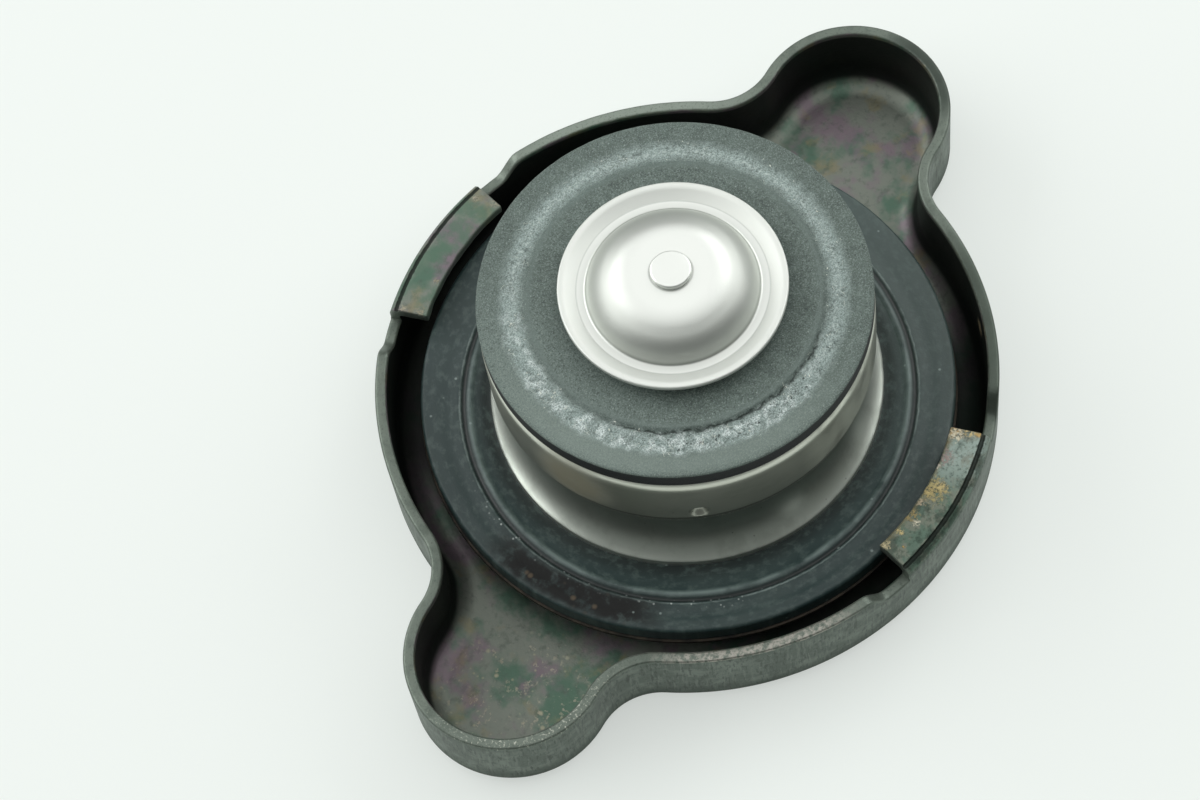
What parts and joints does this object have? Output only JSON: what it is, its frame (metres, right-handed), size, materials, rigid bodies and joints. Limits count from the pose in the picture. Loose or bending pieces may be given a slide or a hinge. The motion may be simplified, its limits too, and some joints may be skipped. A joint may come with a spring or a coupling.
{
  "type": "radiator cap",
  "caption": "Bayonet radiator cap lying on its outer face: pressed shell with two ears and folded tangs, rubber neck gasket, sprung pressure valve and vacuum valve.",
  "frame": {"origin": "centre of the cap's outer face, on which it lies", "axes": "+Z along the cap's axis towards the valve, +X along the ears, +Y towards a bayonet tang"},
  "size_m": [0.081, 0.057, 0.029],
  "materials": {
    "chromate_shell": "dark olive chromate over zinc, iridescent on the floor, bare steel at the worn rim",
    "plated_rivet": "dull zinc plate",
    "spring_steel": "brownish spring steel strip",
    "gasket_rubber": "matt moulded rubber with a pressed ring",
    "plated_seat": "satin zinc plate",
    "bell_plate": "pale satin plate",
    "spring_wire": "drawn spring wire",
    "cup_zinc": "dull zinc with brownish stains",
    "seal_rubber": "matt grey rubber, worn to pale fibres at the seat",
    "plated_guide": "satin zinc plate",
    "vacuum_steel": "bright satin stainless pressing",
    "stem_steel": "smooth bright rivet head"
  },
  "bodies": {
    "shell": {"cap_shell": "chromate_shell"},
    "core": {"centre_rivet": "plated_rivet", "seal_spring_disc": "spring_steel", "neck_gasket": "gasket_rubber", "spring_seat": "plated_seat", "spring_bell": "bell_plate", "pressure_spring": "spring_wire"},
    "pressure_valve": {"valve_cup": "cup_zinc", "pressure_seal": "seal_rubber", "stem_guide": "plated_guide", "vacuum_spring": "spring_wire"},
    "vacuum_valve": {"vacuum_valve": "vacuum_steel", "vacuum_stem": "stem_steel", "spring_keeper": "plated_guide"}
  },
  "joints": [
    {"name": "core_swivel", "type": "hinge", "parent": "shell", "child": "core", "pos_m": [0, 0, 0.002], "axis": [0, 0, 1], "continuous": true},
    {"name": "pressure_slide", "type": "slide", "parent": "core", "child": "pressure_valve", "axis": [0, 0, -1], "range_m": [0, 0.003], "stiffness_N_per_m": 3250, "deforming": ["pressure_spring"]},
    {"name": "vacuum_slide", "type": "slide", "parent": "pressure_valve", "child": "vacuum_valve", "axis": [0, 0, 1], "range_m": [0, 0.002], "stiffness_N_per_m": 1000, "deforming": ["vacuum_spring"]}
  ]
}
